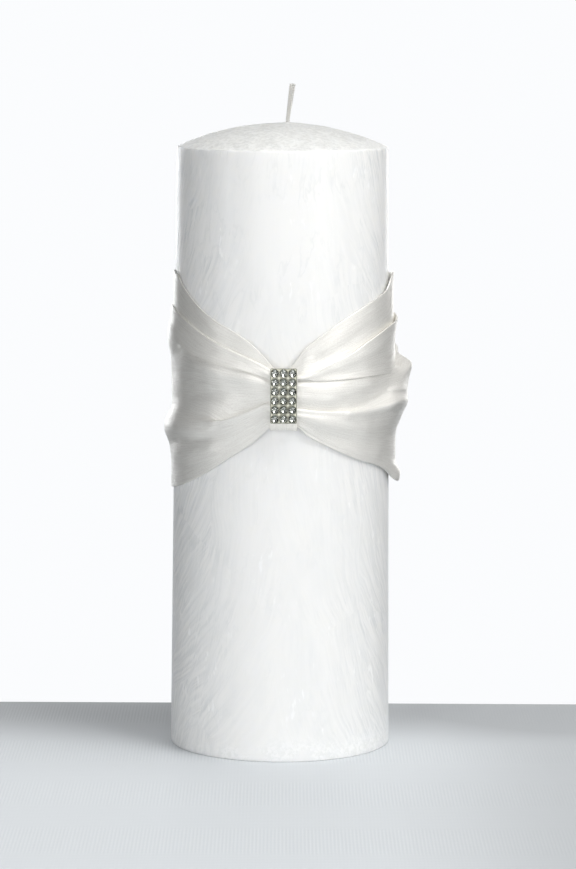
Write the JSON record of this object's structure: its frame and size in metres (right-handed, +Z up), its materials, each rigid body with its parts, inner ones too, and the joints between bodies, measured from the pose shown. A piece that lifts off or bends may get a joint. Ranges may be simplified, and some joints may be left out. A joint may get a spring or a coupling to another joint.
{
  "type": "unity candle",
  "caption": "White pillar candle with a domed top and braided wick, wrapped in a gathered satin sash that a rhinestone ornament holds and that slides up off the wax.",
  "frame": {"origin": "centre of the pillar's flat foot, on the candle's axis, where it stands", "axes": "+Z up along the candle's axis, -Y out of the front where the ornament sits, +X to the viewer's right"},
  "size_m": [0.0847, 0.0842, 0.2286],
  "materials": {
    "wax": "white wax, satin, slightly translucent, feathery crystals",
    "wick": "waxed cotton braid",
    "tab": "tin-plated, stamped",
    "satin": "ivory satin with a fine slub rib, silky sheen",
    "band_satin": "ivory satin, folded edges",
    "thread": "polyester sewing thread",
    "adhesive": "set clear-ish fabric glue",
    "backing": "cream moulded plate, satin",
    "cup": "bright silver plate",
    "crystal": "clear cut glass, foil-backed"
  },
  "bodies": {
    "candle": {"wax_pillar": "wax", "wick": "wick", "wick_tab": "tab"},
    "sash": {"satin_sash": "satin", "centre_band": "band_satin", "gather_thread": "thread", "seam_stitches": "thread", "adhesive_pad": "adhesive", "ornament_backing": "backing", "cup_r1_c1": "cup", "cup_r1_c2": "cup", "cup_r1_c3": "cup", "cup_r2_c1": "cup", "cup_r2_c2": "cup", "cup_r2_c3": "cup", "cup_r3_c1": "cup", "cup_r3_c2": "cup", "cup_r3_c3": "cup", "cup_r4_c1": "cup", "cup_r4_c2": "cup", "cup_r4_c3": "cup", "cup_r5_c1": "cup", "cup_r5_c2": "cup", "cup_r5_c3": "cup", "cup_r6_c1": "cup", "cup_r6_c2": "cup", "cup_r6_c3": "cup", "stone_r1_c1": "crystal", "stone_r1_c2": "crystal", "stone_r1_c3": "crystal", "stone_r2_c1": "crystal", "stone_r2_c2": "crystal", "stone_r2_c3": "crystal", "stone_r3_c1": "crystal", "stone_r3_c2": "crystal", "stone_r3_c3": "crystal", "stone_r4_c1": "crystal", "stone_r4_c2": "crystal", "stone_r4_c3": "crystal", "stone_r5_c1": "crystal", "stone_r5_c2": "crystal", "stone_r5_c3": "crystal", "stone_r6_c1": "crystal", "stone_r6_c2": "crystal", "stone_r6_c3": "crystal"}
  },
  "joints": [
    {"name": "sash_slide", "type": "slide", "parent": "candle", "child": "sash", "axis": [0, 0, 1], "range_m": [0, 0.15]}
  ]
}
